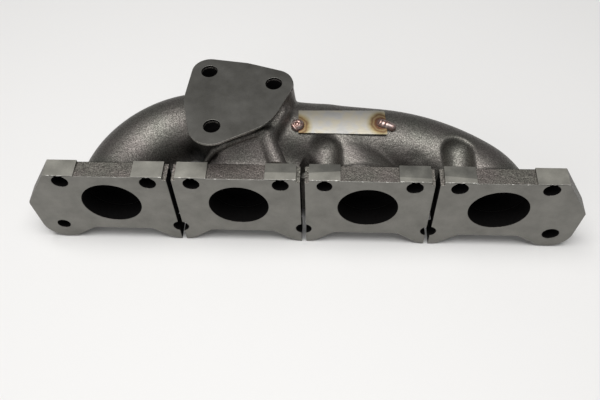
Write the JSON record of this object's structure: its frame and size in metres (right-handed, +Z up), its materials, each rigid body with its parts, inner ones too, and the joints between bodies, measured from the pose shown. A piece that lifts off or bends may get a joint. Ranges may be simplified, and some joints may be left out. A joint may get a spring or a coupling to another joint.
{
  "type": "exhaust manifold",
  "caption": "Cast iron turbo exhaust manifold with separate head flanges parted by expansion slits, swept runners, a log collector and a triangular bolt pad.",
  "frame": {"origin": "centre of exhaust port 1 on the head gasket face", "axes": "+X along the port row towards port 4, +Y away from the cylinder head, +Z up towards the bolt pad"},
  "size_m": [0.381, 0.097, 0.1004],
  "materials": {
    "cast_iron_flange": "machined faces, sand cast edges",
    "cast_iron_skin": "shot-blasted sand casting",
    "cast_iron_pad": "milled face",
    "stainless_plate": "brushed, straw heat tint",
    "weld_metal": "rippled, oxidised"
  },
  "bodies": {
    "root": {"head_flange_1": "cast_iron_flange", "head_flange_2": "cast_iron_flange", "head_flange_3": "cast_iron_flange", "head_flange_4": "cast_iron_flange", "runner_1": "cast_iron_skin", "runner_2": "cast_iron_skin", "runner_3": "cast_iron_skin", "runner_4": "cast_iron_skin", "collector_log": "cast_iron_skin", "log_bend": "cast_iron_skin", "collector_chamber": "cast_iron_skin", "turbo_bolt_pad": "cast_iron_pad", "outlet_flange": "cast_iron_flange", "nameplate": "stainless_plate", "tack_weld_left": "weld_metal", "tack_weld_right": "weld_metal"}
  },
  "joints": []
}
